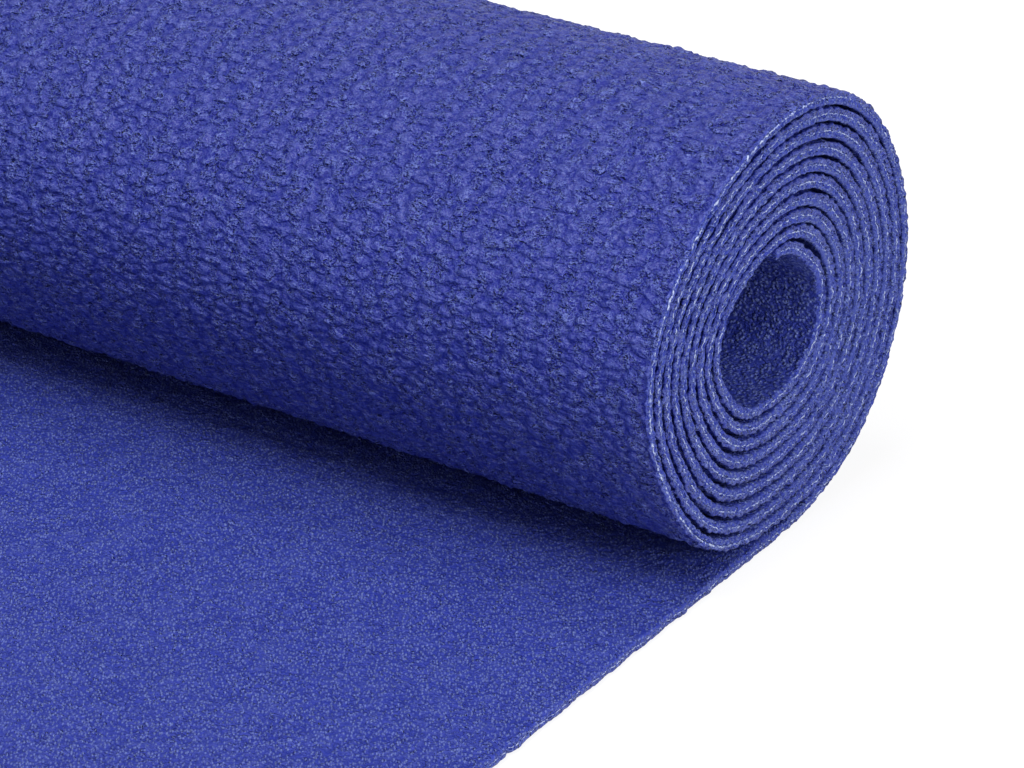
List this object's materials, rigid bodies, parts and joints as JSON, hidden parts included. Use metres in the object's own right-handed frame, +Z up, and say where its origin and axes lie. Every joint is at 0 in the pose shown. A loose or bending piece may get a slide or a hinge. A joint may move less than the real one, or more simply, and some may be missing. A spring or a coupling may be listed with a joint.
{
  "type": "travel mat",
  "caption": "Thin laminated foam exercise mat, rolled up in a spiral, with its free end lying flat and hinged at fold lines so that it curls up round the roll.",
  "frame": {"origin": "middle of the floor rectangle under the mat as pictured, rolled with its free end out", "axes": "+X along the roll's axis towards the end that the picture shows, -Y from the roll along the free end, +Z up"},
  "size_m": [0.61, 0.2542, 0.073],
  "materials": {
    "top_foam": "matt soft foam with a fine dotted grain",
    "scrim_yarn": "pale knitted yarn, seen only as dots along the cut edges",
    "base_foam": "soft foam with a low sheen and lumpy pebbled relief"
  },
  "bodies": {
    "roll": {"roll_top_skin": "top_foam", "roll_scrim": "scrim_yarn", "roll_base_skin": "base_foam"},
    "tail_1": {"tail_1_top_skin": "top_foam", "tail_1_scrim": "scrim_yarn", "tail_1_base_skin": "base_foam"},
    "tail_2": {"tail_2_top_skin": "top_foam", "tail_2_scrim": "scrim_yarn", "tail_2_base_skin": "base_foam"},
    "tail_3": {"tail_3_top_skin": "top_foam", "tail_3_scrim": "scrim_yarn", "tail_3_base_skin": "base_foam"},
    "tail_4": {"tail_4_top_skin": "top_foam", "tail_4_scrim": "scrim_yarn", "tail_4_base_skin": "base_foam"},
    "tail_5": {"tail_5_top_skin": "top_foam", "tail_5_scrim": "scrim_yarn", "tail_5_base_skin": "base_foam"},
    "tail_6": {"tail_6_top_skin": "top_foam", "tail_6_scrim": "scrim_yarn", "tail_6_base_skin": "base_foam"}
  },
  "joints": [
    {"name": "fold_1", "type": "hinge", "parent": "roll", "child": "tail_1", "pos_m": [0, 0.07083, 0.002], "axis": [-1, 0, 0], "range_deg": [0, 43]},
    {"name": "fold_2", "type": "hinge", "parent": "tail_1", "child": "tail_2", "pos_m": [0, 0.03785, 0.002], "axis": [-1, 0, 0], "range_deg": [0, 43]},
    {"name": "fold_3", "type": "hinge", "parent": "tail_2", "child": "tail_3", "pos_m": [0, 0.00486, 0.002], "axis": [-1, 0, 0], "range_deg": [0, 43]},
    {"name": "fold_4", "type": "hinge", "parent": "tail_3", "child": "tail_4", "pos_m": [0, -0.02812, 0.002], "axis": [-1, 0, 0], "range_deg": [0, 43]},
    {"name": "fold_5", "type": "hinge", "parent": "tail_4", "child": "tail_5", "pos_m": [0, -0.06111, 0.002], "axis": [-1, 0, 0], "range_deg": [0, 43]},
    {"name": "fold_6", "type": "hinge", "parent": "tail_5", "child": "tail_6", "pos_m": [0, -0.09409, 0.002], "axis": [-1, 0, 0], "range_deg": [0, 43]}
  ],
  "couplings": [
    {"joint": "fold_2", "follows": "fold_1", "ratio": 1},
    {"joint": "fold_3", "follows": "fold_1", "ratio": 1},
    {"joint": "fold_4", "follows": "fold_1", "ratio": 1},
    {"joint": "fold_5", "follows": "fold_1", "ratio": 1},
    {"joint": "fold_6", "follows": "fold_1", "ratio": 1}
  ]
}
